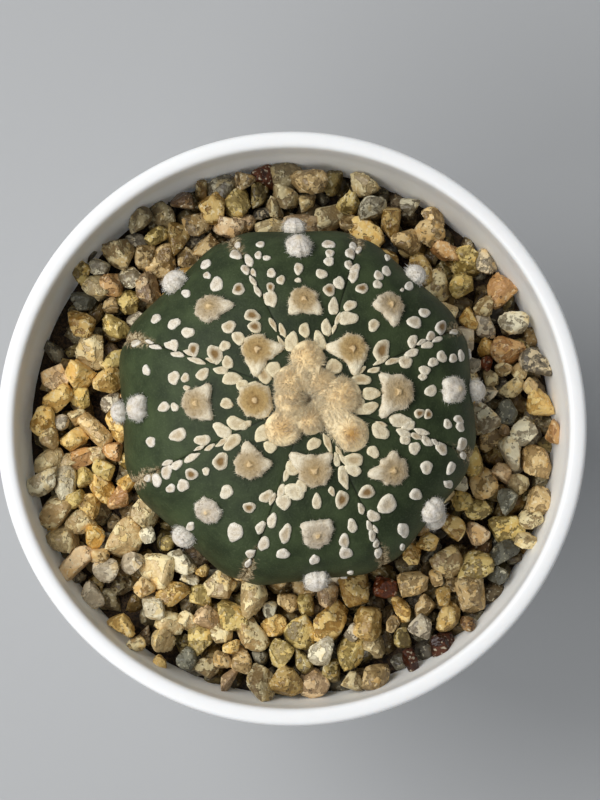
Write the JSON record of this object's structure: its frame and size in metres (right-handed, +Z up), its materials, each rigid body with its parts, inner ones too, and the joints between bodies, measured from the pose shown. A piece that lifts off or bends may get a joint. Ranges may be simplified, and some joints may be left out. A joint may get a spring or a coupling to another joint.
{
  "type": "potted star cactus",
  "caption": "Low ribbed star cactus with felt tufts along its ridges and pale raised flecks, dressed with angular grit in a tapered round plastic pot.",
  "frame": {"origin": "middle of the pot's foot, on the surface that it stands on", "axes": "+Z up along the pot's axis, +X to the right and +Y away from a viewer who looks down at the plant from the front"},
  "size_m": [0.09, 0.09, 0.0936],
  "materials": {
    "pot_plastic": "satin white moulded plastic",
    "potting_mix": "dark loose mix",
    "grit": "dry mottled angular stones",
    "cactus_skin": "matt waxy green skin",
    "felt": "dense short plant felt"
  },
  "bodies": {
    "root": {"pot": "pot_plastic", "potting_mix": "potting_mix", "gravel": "grit", "cactus": "cactus_skin", "crown_wool": "felt"}
  },
  "joints": []
}
